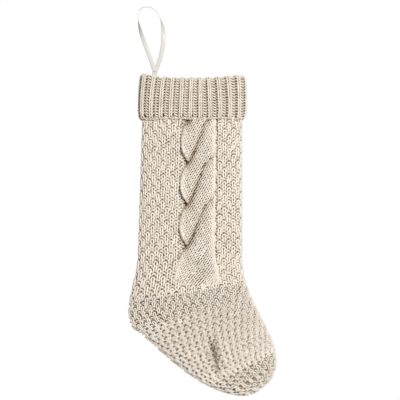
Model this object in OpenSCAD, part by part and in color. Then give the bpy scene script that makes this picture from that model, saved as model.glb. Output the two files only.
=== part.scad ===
// Cable-knit stocking that hangs from a hook by a loop of satin ribbon.
// The origin is the inside top of the loop, where the hook bears. +Z is up and the front faces -Y.
// The knitting is one flattened tube. Its rows run straight across the leg and fan round the heel.

/* [Leg and foot] */
// Height from the rim to the lowest point of the toe
stocking_h = 457; // [430:1:490]
// Height of the leg, from the rim to the ankle
leg_h = 254; // [235:1:270]
// Height from the ankle down to the corner of the heel
heel_h = 98; // [85:1:110]
// Width of the leg at the ankle
leg_w = 148; // [136:1:160]
// How much narrower the leg is at the rim
leg_taper = 8; // [0:1:14]
// How far the heel stands out behind the leg
heel_out = 13; // [6:1:20]
// How far the toe reaches in front of the leg
toe_out = 48; // [36:1:60]
// Height of the toe's foremost point above its lowest
toe_rise = 47; // [38:1:56]
// Depth of the mouth, front to back
mouth_depth = 44; // [38:1:54]
// Depth of the leg, front to back
leg_depth = 38; // [34:1:46]
// Depth of the foot, front to back
foot_depth = 42; // [36:1:50]
// Thickness of the knitted cloth
knit_t = 4; // [3:0.5:5]
// Distance from the toe cap's edge to the tip, along the foot
toe_cap_l = 72; // [60:1:84]
// Depth of the pinched fold beside the toe cap
pucker_depth = 8; // [4:0.5:9]

/* [Cuff] */
// Height of the turned-down cuff
cuff_h = 65; // [55:1:78]
// Number of raised ribs round the cuff
rib_count = 24; // [18:1:28]
// Height of a rib
rib_h = 1.4; // [0.6:0.2:2]
// Dip of the rim between the two sides
rim_dip = 7; // [3:1:10]
// Drop of the rim at its corner on the toe side
rim_corner = 4; // [0:1:6]
// Space between the two layers of the folded cuff
fold_gap = 1; // [0.6:0.2:2]
// How far above the cuff's lower edge the leg is joined on
join_up = 12; // [8:1:18]

/* [Cable] */
// Width of the cable
cable_w = 55; // [48:1:60]
// Distance of the cable from the middle of the leg
cable_shift = 10; // [4:1:12]
// Distance from one crossing of the strands to the next
cable_pitch = 59; // [54:1:64]
// Distance from the rim to the first place where the strands lie side by side
cable_first = 96; // [90:1:100]
// Number of crossings
cable_crossings = 3; // [2:1:3]
// Thickness of one strand
strand_t = 5; // [4:0.5:5]
// Depth of the channel that the strands lie in
channel_depth = 2.5; // [1.5:0.5:3]

/* [Ribbon] */
// Height of the loop above the rim
loop_h = 94; // [80:1:110]
// Width of the loop
loop_w = 39; // [32:1:48]
// Width of the ribbon
ribbon_w = 6; // [5:0.5:8]
// Thickness of the ribbon
ribbon_t = 0.5; // [0.4:0.1:0.6]
// Distance of the hook from the leg's left edge at the ankle
hook_in = 13; // [8:1:20]
// Distance from the hook across to the place where the ribbon goes into the cuff
ribbon_x = 11; // [10:1:16]
// Length of the sewn ribbon ends, measured down from the bend
tail_h = 27; // [20:1:34]
// Height of the ribbon's bend above the rim
bend_up = 2; // [1:0.5:4]

/* [Yarn] */
// Diameter of the linking yarn in the seams
link_d = 2.6; // [2:0.2:3.2]
// Diameter of the cast-off edge of the cuff
edge_d = 3.6; // [3:0.2:4.2]
// Diameter of the tacking thread
thread_d = 0.9; // [0.6:0.1:1.2]

/* [Hidden] */
clear = 0.3;
seat = 0.5;
roundness = 2.5;
wool = "Linen";
satin = "Ivory";

// Corners of the outline
rim_z = -loop_h;
ankle_z = rim_z - leg_h;
heel_z = ankle_z - heel_h;
toe_z = rim_z - stocking_h;
leg_left = -hook_in;
leg_right = leg_w - hook_in;
heel_x = leg_left - heel_out;
toe_x = leg_right + toe_out;
ball_x = leg_right - 3;
nose_z = toe_z + toe_rise;

// Shape of the outline below the ankle
heel_top = 84;
heel_round = [16, 15];
heel_corner = 0.75;
sole_bow = 0.85;
instep_bow = 1.2;
toe_round = 1.8;

function ease(f) = (1 - cos(180 * f)) / 2;
function mix(a, b, f) = a + (b - a) * f;
function clamp01(f) = min(1, max(0, f));
function unit(v) = v / norm(v);
function bezier3(a, b, c, f) = mix(mix(a, b, f), mix(b, c, f), f);
function bezier4(a, b, c, d, f) = mix(bezier3(a, b, c, f), bezier3(b, c, d, f), f);

// Outline of heel, sole, instep and toe, as points [x, z]
heel_curve = [for (f = [0 : 0.125 : 1]) [leg_left - heel_out * ease(f), ankle_z - heel_top * f]];
sole_start = [heel_x + heel_round[0], heel_z - heel_round[1]];
heel_turn = [for (f = [0.2 : 0.2 : 1])
    bezier3([heel_x, ankle_z - heel_top], [heel_x, heel_z - heel_round[1] * heel_corner], sole_start, f)];
function sole_drop(f) = mix(f, sin(90 * f), sole_bow);
sole_curve = [for (f = [0.1 : 0.1 : 1])
    [mix(sole_start[0], ball_x, f), mix(sole_start[1], toe_z, sole_drop(f))]];
function toe_point(angle) = [ball_x + (toe_x - ball_x) * pow(cos(angle), 2 / toe_round),
                             nose_z - toe_rise * pow(sin(angle), 2 / toe_round)];
instep_curve = [for (f = [0 : 0.0625 : 1])
    [leg_right + toe_out * ease(pow(f, instep_bow)), mix(ankle_z, nose_z, f)]];
heel_path = concat(heel_curve, heel_turn, sole_curve, [for (angle = [80 : -8.75 : 45]) toe_point(angle)]);
instep_path = concat(instep_curve, [for (angle = [8 : 7.4 : 45]) toe_point(angle)]);

// Rows of knitting: t is the distance below the rim, straight down the leg and then along the foot
function running(path) = [for (i = 0, s = 0; i < len(path);
    s = s + (i + 1 < len(path) ? norm(path[i + 1] - path[i]) : 0), i = i + 1) s];
function along(path, lengths, f, axis) =
    lookup(f, [for (i = [0 : len(path) - 1]) [lengths[i] / lengths[len(path) - 1], path[i][axis]]]);
heel_run = running(heel_path);
instep_run = running(instep_path);
foot_l = (heel_run[len(heel_run) - 1] + instep_run[len(instep_run) - 1]) / 2;
tip_t = leg_h + foot_l;
function foot_share(t) = clamp01((t - leg_h) / foot_l);
function row_left(t) = t <= leg_h
    ? [mix(leg_left + leg_taper, leg_left, t / leg_h), rim_z - t]
    : [for (axis = [0, 1]) along(heel_path, heel_run, foot_share(t), axis)];
function row_right(t) = t <= leg_h
    ? [leg_right, rim_z - t]
    : [for (axis = [0, 1]) along(instep_path, instep_run, foot_share(t), axis)];
function row_mid(t) = (row_left(t) + row_right(t)) / 2;
function row_dir(t) = unit(row_right(t) - row_left(t));
function half_width(t) = norm(row_right(t) - row_left(t)) / 2;

// Depth of the tube at each row, closing towards the tip of the toe
toe_closing_w = 44;
toe_closing = 0.6;
depths = [[0, mouth_depth], [cuff_h, leg_depth], [leg_h, leg_depth], [leg_h + foot_l / 3, foot_depth]];
function half_depth(t) = lookup(t, depths) / 2 * pow(min(1, half_width(t) / toe_closing_w), toe_closing);
function bulge(u) = pow(1 - pow(min(1, abs(u)), roundness), 1 / roundness);

// Point on a skin of the tube: u runs from -1 at the heel side to 1, out is measured from the outer skin,
// and side is -1 in front and 1 behind
function skin(t, u, out, side, lift = 0) =
    let (across = row_mid(t) + row_dir(t) * u * (half_width(t) + out))
    [across[0], side * (clear / 2 + (half_depth(t) + out) * bulge(u) + lift), across[1]];

// Closed solid from rings of points, which may join up into a ring or end in flat caps
function side_faces(rings, points, joined) =
    [for (i = [0 : rings - (joined ? 1 : 2)], k = [0 : points - 1])
        let (j = (i + 1) % rings, n = (k + 1) % points)
        each [[i * points + k, i * points + n, j * points + n],
              [i * points + k, j * points + n, j * points + k]]];
function strip_cap(first, points) = [for (k = [0 : points / 2 - 2])
    each [[first + k, first + points - 2 - k, first + k + 1],
          [first + k, first + points - 1 - k, first + points - 2 - k]]];
function flipped(faces) = [for (f = faces) [f[2], f[1], f[0]]];
module loft(rings, joined = false) {
    points = len(rings[0]);
    last = (len(rings) - 1) * points;
    caps = joined ? [] : concat(strip_cap(0, points), flipped(strip_cap(last, points)));
    polyhedron([for (ring = rings) each ring], concat(side_faces(len(rings), points, joined), caps));
}

// Round section of a yarn at p, in the plane of the two directions
yarn_sides = 6;
function yarn_ring(p, d, right, up) = [for (k = [0 : yarn_sides - 1])
    let (angle = 360 * k / yarn_sides) p + (right * cos(angle) + up * sin(angle)) * d / 2];

// Evenly spaced places round a flattened ring, as angles of its rounded outline
function ring_u(angle) = sign(cos(angle)) * pow(abs(cos(angle)), 2 / roundness);
function even_angles(t, count) =
    let (fine = [for (angle = [0 : 4 : 360]) angle],
         outline = [for (angle = fine) [half_width(t) * ring_u(angle), half_depth(t) * ring_u(angle - 90)]],
         run = running(outline),
         table = [for (i = [0 : len(fine) - 1]) [run[i] / run[len(fine) - 1], fine[i]]])
    [for (i = [0 : count - 1]) lookup(i / count, table)];
function ring_point(t, angle, out) =
    let (across = row_mid(t) + row_dir(t) * ring_u(angle) * (half_width(t) + out))
    [across[0], (half_depth(t) + out) * ring_u(angle - 90), across[1]];

// Yarn laid round the tube along row t, out from its outer skin
module yarn_round(t, out, d, count) {
    down = let (dir = row_dir(t)) [dir[1], 0, -dir[0]];
    angles = even_angles(t, count);
    loft([for (i = [0 : count - 1])
        let (here = ring_point(t, angles[i], out),
             next = ring_point(t, angles[(i + 1) % count], out),
             before = ring_point(t, angles[(i + count - 1) % count], out),
             outward = unit(cross(unit(next - before), down)))
        yarn_ring(here, d, outward, down)], joined = true);
}

// Yarn laid inside the tube along one edge, past the rows that the panels are drawn on
module yarn_down_edge(edge, start, end) {
    inset = knit_t + seat + clear + link_d / 2;
    function place(t) = let (p = row_mid(t) + row_dir(t) * edge * (half_width(t) - inset)) [p[0], 0, p[1]];
    passed = [for (t = panel_rows) if (t > start + link_d && t < end - link_d) t];
    loft([for (t = concat([start], passed, [end]))
        let (dir = unit(place(t + 1) - place(t - 1)), right = cross(dir, [0, 1, 0]))
        yarn_ring(place(t), link_d, right, [0, 1, 0])]);
}

// Rows where the pieces meet
join_t = cuff_h - join_up;
cap_t = tip_t - toe_cap_l;
join_end = join_t + link_d / 2 + clear;
cable_start = cuff_h + edge_d + 2 * clear;
cable_flat = 35;
cable_end = cable_first + cable_pitch * cable_crossings + cable_flat;

// Channel under the cable, as a drop of the front skin d across from the row's middle
channel_bank = 1.5;
function cable_fade(t) = clamp01((cable_end - t) / cable_flat);
function channel(t, d) = channel_depth * cable_fade(t)
    * clamp01((t - join_end) / (cable_start - join_end))
    * clamp01((cable_w / 2 + channel_bank - abs(d - cable_shift)) / (2 * channel_bank));

// Pinched fold above the toe cap, which slants towards the heel side on its way down
pucker_len = 33;
pucker_row = cap_t - pucker_len - link_d;
pucker_across = -15.5;
pucker_lean = -0.5;
pucker_w = 7;
function fold_across(t) = pucker_across + pucker_lean * (t - pucker_row);
function pucker(t, d) = pucker_depth * clamp01(1 - abs(d - fold_across(t)) / pucker_w)
    * clamp01(1 - pow((t - pucker_row) / pucker_len, 2));
function front_lift(t, d) = -channel(t, d) - pucker(t, d);

// Columns of points across a panel: close together at the edges, and in the middle first spread over
// the cable and then gathered at the fold
edge_columns = 6;
cable_shares = [-1.1, -0.9, -0.6, -0.2, 0.2, 0.6, 0.9, 1.15];
fold_shares = [-1.6, -1, -0.5, 0, 0.5, 1, 2.5, 5];
function edge_share(k) = pow(k / edge_columns, 2);
fold_start = pucker_row - pucker_len;
function below_cable(t) = clamp01((t - cable_end) / max(1, fold_start - cable_end));
function field(t) = [for (i = [0 : len(cable_shares) - 1])
    mix(cable_shift + cable_shares[i] * cable_w / 2,
        fold_across(max(t, fold_start)) + fold_shares[i] * pucker_w, below_cable(t))];
function columns(t) =
    let (a = half_width(t), middle = field(t), last = len(middle) - 1)
    concat([for (k = [0 : edge_columns - 1]) mix(-a, middle[0], edge_share(k)) / a],
           [for (d = middle) d / a],
           [for (k = [edge_columns - 1 : -1 : 0]) mix(a, middle[last], edge_share(k)) / a]);
function panel_ring(t, side) =
    let (us = columns(t), a = half_width(t), n = len(us) - 1,
         lifts = [for (u = us) side < 0 ? front_lift(t, u * a) : 0])
    concat([for (i = [0 : n]) skin(t, us[i], 0, side, lifts[i])],
           [for (i = [n : -1 : 0]) skin(t, us[i], -knit_t, side, lifts[i])]);
leg_rows = concat([join_t + clear, join_end], [for (f = [0 : 0.25 : 1]) mix(cable_start, leg_h, f)]);
foot_rows = [for (f = [0.0625 : 0.0625 : 1]) mix(leg_h, cap_t - clear / 2, f)];
panel_rows = concat(leg_rows, foot_rows);
module panel(side) {
    rings = [for (t = panel_rows) panel_ring(t, side)];
    loft(side < 0 ? rings : [for (ring = rings) [for (i = [len(ring) - 1 : -1 : 0]) ring[i]]]);
}

module front_panel() {
    color(wool) panel(-1);
}

module back_panel() {
    color(wool) panel(1);
}

// One strand of the cable: it comes over from right to left, full width in the middle of the crossing,
// and goes back underneath. Angles count 180 for each crossing, and the sides are shares of the half width.
// Its inward side climbs and sinks first, and its outward side follows.
strand_gap = 0.5;
strand_rise = 20;
strand_thin = 0.5;
strand_step = 0.25;
strand_sides = 12;
rings_per_crossing = 12;
ring_pitch = cable_pitch / rings_per_crossing;
first_ring = ceil((cable_start - cable_first) / ring_pitch + 0.1);
strand_rows = concat([cable_start],
    [for (i = [first_ring : rings_per_crossing * cable_crossings]) cable_first + ring_pitch * i],
    [for (f = [0.75 : -0.25 : 0]) cable_end - cable_flat * f]);
function moved(angle) = ease(clamp01(angle / 90));
function strand_left(angle) = angle < 180 ? -moved(angle) : moved(angle - 270) - 1;
function strand_right(angle) = angle < 180 ? 1 - moved(angle - 90) : moved(angle - 180);
function inward(angle, across) = sqrt((1 - across * sign(cos(angle))) / 2);
function on_top(angle, across) =
    (1 + sign(sin(angle)) * pow(abs(sin(angle)), mix(1, strand_step, inward(angle, across)))) / 2;
module cable_strand(first_angle) {
    function crossed(t) = min(cable_crossings, (t - cable_first) / cable_pitch);
    function turn(t) = (first_angle + 360 + 180 * crossed(t)) % 360;
    function ring(t) =
        let (angle = turn(t),
             fade = cable_fade(t),
             thick = strand_t * mix(strand_thin, 1, min(fade, clamp01((t - cable_start) / strand_rise))),
             middle = cable_shift + (strand_left(angle) + strand_right(angle)) * cable_w / 4,
             half = (strand_right(angle) - strand_left(angle)) * cable_w / 4 - strand_gap / 2,
             floor = clear - channel_depth * fade)
        [for (k = [0 : strand_sides - 1])
            let (around = 180 - 360 * k / strand_sides,
                 d = middle + cos(around) * half,
                 up = floor + thick / 2 + (thick + 2 * clear) * on_top(angle, cos(around)) * fade)
            skin(t, d / half_width(t), 0, -1, up + sin(around) * thick / 2)];
    loft([for (t = strand_rows) ring(t)]);
}

module cable_strand_a() {
    color(wool) cable_strand(0);
}

module cable_strand_b() {
    color(wool) cable_strand(180);
}

// Cup that closes the toe: an outer skin that runs to the tip, and an inner skin that stops short of it
cap_points = 36;
cap_rows = [for (f = [0, 0.2, 0.4, 0.58, 0.74, 0.86, 0.95]) mix(cap_t + clear / 2, tip_t, f)];
cap_inner_rows = [for (f = [0.8, 0.65, 0.45, 0.22, 0]) mix(cap_t + clear / 2, tip_t, f)];
module toe_cap() {
    angles = even_angles(cap_t, cap_points);
    rings = concat([for (t = cap_rows) [for (angle = angles) ring_point(t, angle, 0)]],
                   [for (t = cap_inner_rows) [for (angle = angles) ring_point(t, angle, -knit_t)]]);
    outer = len(cap_rows);
    inner = len(cap_inner_rows);
    tip = row_mid(tip_t);
    hollow_end = row_mid(cap_inner_rows[0]);
    all = concat([for (ring = rings) each ring], [[tip[0], 0, tip[1]], [hollow_end[0], 0, hollow_end[1]]]);
    skins = [for (face = side_faces(outer + inner, cap_points, true))
        if (!crosses_tip(face, (outer - 1) * cap_points, outer * cap_points)) face];
    tip_fan = [for (k = [0 : cap_points - 1])
        [(outer - 1) * cap_points + k, (outer - 1) * cap_points + (k + 1) % cap_points, len(all) - 2]];
    hollow_fan = [for (k = [0 : cap_points - 1])
        [outer * cap_points + (k + 1) % cap_points, outer * cap_points + k, len(all) - 1]];
    color(wool) polyhedron(all, concat(skins, tip_fan, hollow_fan));
}
function crosses_tip(face, last_outer, first_inner) =
    min(face) >= last_outer && min(face) < first_inner && max(face) >= first_inner;

// Folded cuff: the band's profile as points [out, z], up the inner layer's outside and back down its inside
layer_out = fold_gap + knit_t;
roll_r = (2 * knit_t + fold_gap) / 2;
slit_drop = 2;
belly = 1;
belly_share = 0.6;
roll_angle = 35;
cuff_side_points = 4 * rib_count;
rim_curve = 3;
corner_curve = 12;
function rim_top(u) =
    rim_z - rim_dip * (1 - pow(abs(u), rim_curve)) - rim_corner * pow(max(0, u), corner_curve);
function cuff_ring(angle, rib) =
    let (u = ring_u(angle), top = rim_top(u) - roll_r, crest = layer_out + rib)
    [for (p = [[0, rim_z - join_t], [0, top - slit_drop],
               [fold_gap, top - slit_drop], [fold_gap, rim_z - cuff_h],
               [crest, rim_z - cuff_h], [crest + belly, rim_z - belly_share * cuff_h], [crest, top],
               [fold_gap / 2 + (roll_r + rib) * cos(roll_angle), top + (roll_r + rib) * sin(roll_angle)],
               [fold_gap / 2, top + roll_r],
               [fold_gap / 2 - roll_r * cos(roll_angle), top + roll_r * sin(roll_angle)],
               [-knit_t, top], [-knit_t, rim_z - join_t]])
        let (level = ring_point(rim_z - p[1], angle, p[0])) [level[0], level[1], p[1]]];
module cuff_band() {
    angles = even_angles(cuff_h / 2, cuff_side_points);
    color(wool) loft([for (i = [0 : cuff_side_points - 1])
        cuff_ring(angles[i], (i % 4 == 1 || i % 4 == 2) ? rib_h : 0)], joined = true);
}

module cuff_edge() {
    color(wool) yarn_round(cuff_h + edge_d / 2 + clear, fold_gap + knit_t / 2 + rib_h / 2, edge_d, 48);
}

module cuff_join() {
    color(wool) yarn_round(join_t, -knit_t - seat - link_d / 2, link_d, 48);
}

module toe_seam() {
    color(wool) yarn_round(cap_t, -knit_t - seat - link_d / 2, link_d, cap_points);
}

// The side seams start under the cuff's join and stop short of the toe's
seam_start = join_t + link_d + clear;
seam_end = cap_t - 2 * link_d;

module heel_seam() {
    color(wool) yarn_down_edge(-1, seam_start, seam_end);
}

module instep_seam() {
    color(wool) yarn_down_edge(1, seam_start, seam_end);
}

// Ribbon loop: a flat strip that leaves the rim face on and turns edge on where it goes over the hook
bend_z = rim_z + bend_up;
bend_r = ribbon_t + 0.1;
loop_foot = bend_z + bend_r + clear;
loop_steps = 20;
function left_leg(f) = bezier4([ribbon_x - 0.5, loop_foot], [0, 0.6 * loop_foot],
                               [-0.77 * loop_w, ribbon_t / 2], [0, ribbon_t / 2], f);
function right_leg(f) = bezier4([0, ribbon_t / 2], [0.54 * loop_w, ribbon_t / 2],
                                [0.85 * loop_w, loop_foot / 2], [ribbon_x + 0.5, loop_foot], f);
function strip_ring(p, dir, twist, y) =
    let (across = [-dir[1], 0, dir[0]] * cos(twist) + [0, 1, 0] * sin(twist),
         through = cross([dir[0], 0, dir[1]], across))
    [for (c = [[-1, -1], [-1, 1], [1, 1], [1, -1]])
        [p[0], y, p[1]] + across * c[0] * ribbon_w / 2 + through * c[1] * ribbon_t / 2];
leg_y = ribbon_t / 2 + 0.1;
function leg_twist(f) = 90 * ease(clamp01((f - 0.3) / 0.4));
function level_end(dir, f) = f == 0 ? [0, 1] : dir;
module hanger_loop() {
    step = 1 / loop_steps;
    up = [for (i = [0 : loop_steps])
        let (f = i * step, dir = level_end(unit(left_leg(f + 0.01) - left_leg(max(0, f - 0.01))), f))
        strip_ring(left_leg(f), dir, leg_twist(f), -leg_y * (1 - f))];
    down = [for (i = [1 : loop_steps])
        let (f = i * step, dir = -level_end(-unit(right_leg(f + 0.01) - right_leg(f - 0.01)), 1 - f))
        strip_ring(right_leg(f), dir, leg_twist(1 - f), leg_y * f)];
    color(satin) loft(concat(up, down));
}

// Sewn ends of the ribbon, which hang from the bend down to the inside of the cuff's left side
tail_end_z = bend_z - tail_h;
cuff_inside_x = row_left(rim_z - tail_end_z)[0] + knit_t;
tail_end_x = cuff_inside_x + clear + ribbon_w / 2;
module tail(y) {
    translate([0, y + ribbon_t / 2, 0])
        rotate([90, 0, 0])
            linear_extrude(ribbon_t)
                polygon([[ribbon_x - ribbon_w / 2, bend_z], [ribbon_x + ribbon_w / 2, bend_z],
                         [tail_end_x + ribbon_w / 2, tail_end_z], [tail_end_x - ribbon_w / 2, tail_end_z]]);
}
module ribbon_tails() {
    color(satin) {
        tail(-leg_y);
        tail(leg_y);
        translate([ribbon_x - ribbon_w / 2, 0, bend_z])
            rotate([0, 90, 0])
                cylinder(h = ribbon_w, r = bend_r, $fn = 48);
    }
}

// Thread bars that hold the ribbon ends to the cuff, two in front and two behind
tack_drops = [0.6, 0.8];
tack_y = bend_r + thread_d / 2 + clear / 3;
module tack_stitches() {
    for (drop = tack_drops, side = [-1, 1]) {
        z = mix(bend_z, tail_end_z, drop);
        wall_x = row_left(rim_z - z)[0] + knit_t + clear;
        reach = mix(ribbon_x, tail_end_x, drop) + ribbon_w / 2 + 1 - wall_x;
        color(satin)
            translate([wall_x, side * tack_y, z])
                rotate([0, 90, 0])
                    cylinder(h = reach, d = thread_d, $fn = 24);
    }
}

hanger_loop();
ribbon_tails();
tack_stitches();
cuff_band();
cuff_edge();
cuff_join();
front_panel();
back_panel();
cable_strand_a();
cable_strand_b();
toe_cap();
toe_seam();
heel_seam();
instep_seam();
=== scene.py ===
import math

import bmesh
import bpy
import numpy as np
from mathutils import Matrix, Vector


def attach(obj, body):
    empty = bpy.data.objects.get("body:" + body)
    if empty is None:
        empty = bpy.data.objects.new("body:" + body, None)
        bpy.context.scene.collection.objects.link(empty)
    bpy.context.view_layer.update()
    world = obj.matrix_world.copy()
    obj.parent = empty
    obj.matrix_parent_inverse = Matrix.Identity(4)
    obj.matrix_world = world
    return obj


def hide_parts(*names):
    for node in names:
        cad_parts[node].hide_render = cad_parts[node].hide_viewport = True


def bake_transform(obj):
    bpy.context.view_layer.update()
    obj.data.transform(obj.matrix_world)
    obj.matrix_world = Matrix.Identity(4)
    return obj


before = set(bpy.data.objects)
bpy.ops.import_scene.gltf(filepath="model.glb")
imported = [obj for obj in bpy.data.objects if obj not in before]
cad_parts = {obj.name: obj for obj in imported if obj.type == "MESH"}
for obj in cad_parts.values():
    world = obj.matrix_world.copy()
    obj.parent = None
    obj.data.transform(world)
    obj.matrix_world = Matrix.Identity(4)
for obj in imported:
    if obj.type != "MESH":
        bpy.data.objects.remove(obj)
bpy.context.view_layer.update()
scene = bpy.context.scene
print("stocking: frame loaded with", len(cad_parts), "nodes")


# small helpers

def ease(f):
    return (1 - np.cos(np.pi * f)) / 2


def mix(a, b, f):
    return a + (b - a) * f


def smooth(f):
    f = np.clip(f, 0, 1)
    return f * f * (3 - 2 * f)


# outline of the stocking, in metres, the same as the solids

stocking = dict(
    height=0.457, legHeight=0.254, heelHeight=0.098, legWidth=0.148, legTaper=0.008,
    heelOut=0.013, toeOut=0.048, toeRise=0.047, ballIn=0.003,
    mouthDepth=0.044, legDepth=0.038, footDepth=0.042,
    knit=0.004, toeCap=0.072, cuffHeight=0.065, joinUp=0.012,
    loopHeight=0.094, hookIn=0.013, gap=0.00015, roundness=2.5,
    heelTop=0.084, heelRound=(0.016, 0.015), heelCorner=0.75, soleBow=0.85, instepBow=1.2,
    toeRound=1.8, toeClosing=0.044, closingPower=0.6,
)
outline = dict(heel=25, turn=13, sole=31, instep=33, toe=14,  # points on each stretch
               ball=86, tip=45, nose=4)  # degrees round the toe

rimZ = -stocking["loopHeight"]
ankleZ = rimZ - stocking["legHeight"]
heelZ = ankleZ - stocking["heelHeight"]
toeZ = rimZ - stocking["height"]
legLeft = -stocking["hookIn"]
legRight = stocking["legWidth"] - stocking["hookIn"]
heelX = legLeft - stocking["heelOut"]
toeX = legRight + stocking["toeOut"]
ballX = legRight - stocking["ballIn"]
noseZ = toeZ + stocking["toeRise"]


def toePoints(start):
    a = np.radians(np.linspace(start, outline["tip"], outline["toe"]))
    power = 2 / stocking["toeRound"]
    return np.column_stack([ballX + (toeX - ballX) * np.cos(a) ** power,
                            noseZ - stocking["toeRise"] * np.sin(a) ** power])


def heelSide():
    f = np.linspace(0, 1, outline["heel"])
    heel = np.column_stack([legLeft - stocking["heelOut"] * ease(f), ankleZ - stocking["heelTop"] * f])
    top = heel[-1]
    soleStart = np.array([heelX + stocking["heelRound"][0], heelZ - stocking["heelRound"][1]])
    bend = np.array([heelX, heelZ - stocking["heelRound"][1] * stocking["heelCorner"]])
    f = np.linspace(0, 1, outline["turn"])[1:, None]
    turn = top * (1 - f) ** 2 + bend * 2 * f * (1 - f) + soleStart * f ** 2
    f = np.linspace(0, 1, outline["sole"])[1:]
    drop = mix(f, np.sin(np.pi / 2 * f), stocking["soleBow"])
    sole = np.column_stack([mix(soleStart[0], ballX, f), mix(soleStart[1], toeZ, drop)])
    return np.vstack([heel, turn, sole, toePoints(outline["ball"])])


def instepSide():
    f = np.linspace(0, 1, outline["instep"])
    instep = np.column_stack([legRight + stocking["toeOut"] * ease(f ** stocking["instepBow"]),
                              mix(ankleZ, noseZ, f)])
    return np.vstack([instep, toePoints(outline["nose"])])


def runAlong(path):
    return np.concatenate([[0], np.cumsum(np.linalg.norm(np.diff(path, axis=0), axis=1))])


heelPath, instepPath = heelSide(), instepSide()
heelRun, instepRun = runAlong(heelPath), runAlong(instepPath)
footLength = (heelRun[-1] + instepRun[-1]) / 2
tipT = stocking["legHeight"] + footLength  # t is the distance below the rim, down the leg and along the foot
capT = tipT - stocking["toeCap"]
joinT = stocking["cuffHeight"] - stocking["joinUp"]


def rowEnds(t):
    t = np.atleast_1d(t)
    share = np.clip((t - stocking["legHeight"]) / footLength, 0, 1)
    onLeg = (t <= stocking["legHeight"])[:, None]
    down = t / stocking["legHeight"]
    legL = np.column_stack([mix(legLeft + stocking["legTaper"], legLeft, down), rimZ - t])
    legR = np.column_stack([np.full(len(t), legRight), rimZ - t])
    footL = np.column_stack([np.interp(share, heelRun / heelRun[-1], heelPath[:, k]) for k in (0, 1)])
    footR = np.column_stack([np.interp(share, instepRun / instepRun[-1], instepPath[:, k]) for k in (0, 1)])
    return np.where(onLeg, legL, footL), np.where(onLeg, legR, footR)


def rowFrame(t):
    # middle of each row, half its width, and its direction
    left, right = rowEnds(t)
    half = np.linalg.norm(right - left, axis=1) / 2
    return (left + right) / 2, half, (right - left) / np.maximum(2 * half, 1e-6)[:, None]


def halfDepth(t, half):
    deepest = stocking["legHeight"] + footLength / 3  # a third of the way along the foot
    marks = [0, stocking["cuffHeight"], stocking["legHeight"], deepest]
    depths = [stocking["mouthDepth"], stocking["legDepth"], stocking["legDepth"], stocking["footDepth"]]
    closing = np.minimum(1, half / stocking["toeClosing"]) ** stocking["closingPower"]
    return np.interp(t, marks, depths) / 2 * closing


def ringU(angle):
    # place across the tube, from -1 to 1; the tube is a rounded box
    return np.sign(np.cos(angle)) * np.abs(np.cos(angle)) ** (2 / stocking["roundness"])


# cloth charts: grids of points over rows t and equal steps round the tube, from heel side to instep side

chart = dict(rows=420, columns=181, steps=721, least=0.0004, edge=0.12)
chartT = np.linspace(0, tipT, chart["rows"])
cable = dict(
    shift=0.010, width=0.055, first=0.096, pitch=0.059, crossings=3, fadeStart=0.245, fadeEnd=0.306,
    channel=0.0032, channelStart=0.015, channelEnd=0.02, channelIn=0.0005, channelSide=0.003,
    endUp=0.002, endArch=10, endTilt=0.2, wales=5.6, rowPitch=0.0043, shake=0.03, steep=1.41, rowTilt=0.072,
    crown=0.0082, edge=-0.0032, overlap=0.0025, drop=0.0095, radius=0.00101, loopDepth=0.0014,
    spreadLeft=0.12, spreadRight=0.30, bend=0.17, bendEnd=0.85, middle=1.0, bulge=1.05, hollow=1.8,
)
fold = dict(row=capT - 0.033, length=0.036, across=-0.0155, lean=-0.5, width=0.007,  # a crease by the toe
            depth=0.0085, pinch=0.5, swell=0.35, swellAway=0.010, swellWidth=0.006,
            shadeAway=0.001, shadeWidth=0.6)
gathers = dict(height=0.0012, end=0.084, length=0.014, shift=0.0012, pitch=0.0093)  # under the cuff
ripple = dict(height=0.0007, front=(61, 23, 47, 19), back=(53, -29, 41, -23))  # slow waves of the cloth


def gather(t, d):
    wave = np.cos(2 * np.pi * (d - gathers["shift"]) / gathers["pitch"])
    return gathers["height"] * smooth((gathers["end"] - t) / gathers["length"]) * wave


def rippled(t, d, rates):
    return ripple["height"] * np.sin(t * rates[0] + d * rates[1]) * np.cos(d * rates[2] - t * rates[3])


def gentleWave(t, d):
    return rippled(t, d, ripple["front"])


def backLift(t, d):
    return rippled(t, d, ripple["back"])


def foldPlace(t, d):
    along = np.clip(1 - ((t - fold["row"]) / fold["length"]) ** 2, 0, 1)
    return along, d - fold["across"] - fold["lean"] * (t - fold["row"])


def frontLift(t, d):
    inCable = smooth((cable["fadeEnd"] - t) / cable["channelEnd"])
    inCable = inCable * smooth((t - joinT) / cable["channelStart"])
    fromSide = cable["width"] / 2 - cable["channelIn"] - abs(d - cable["shift"])
    channel = cable["channel"] * inCable * smooth(fromSide / cable["channelSide"])
    along, beside = foldPlace(t, d)
    pinch = fold["depth"] * along * np.exp(-(beside / (fold["pinch"] * fold["width"])) ** 2)
    swollen = np.exp(-((abs(beside) - fold["swellAway"]) / fold["swellWidth"]) ** 2)
    swell = fold["swell"] * fold["depth"] * along * swollen
    return -channel - pinch + swell + gather(t, d) + gentleWave(t, d)


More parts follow.
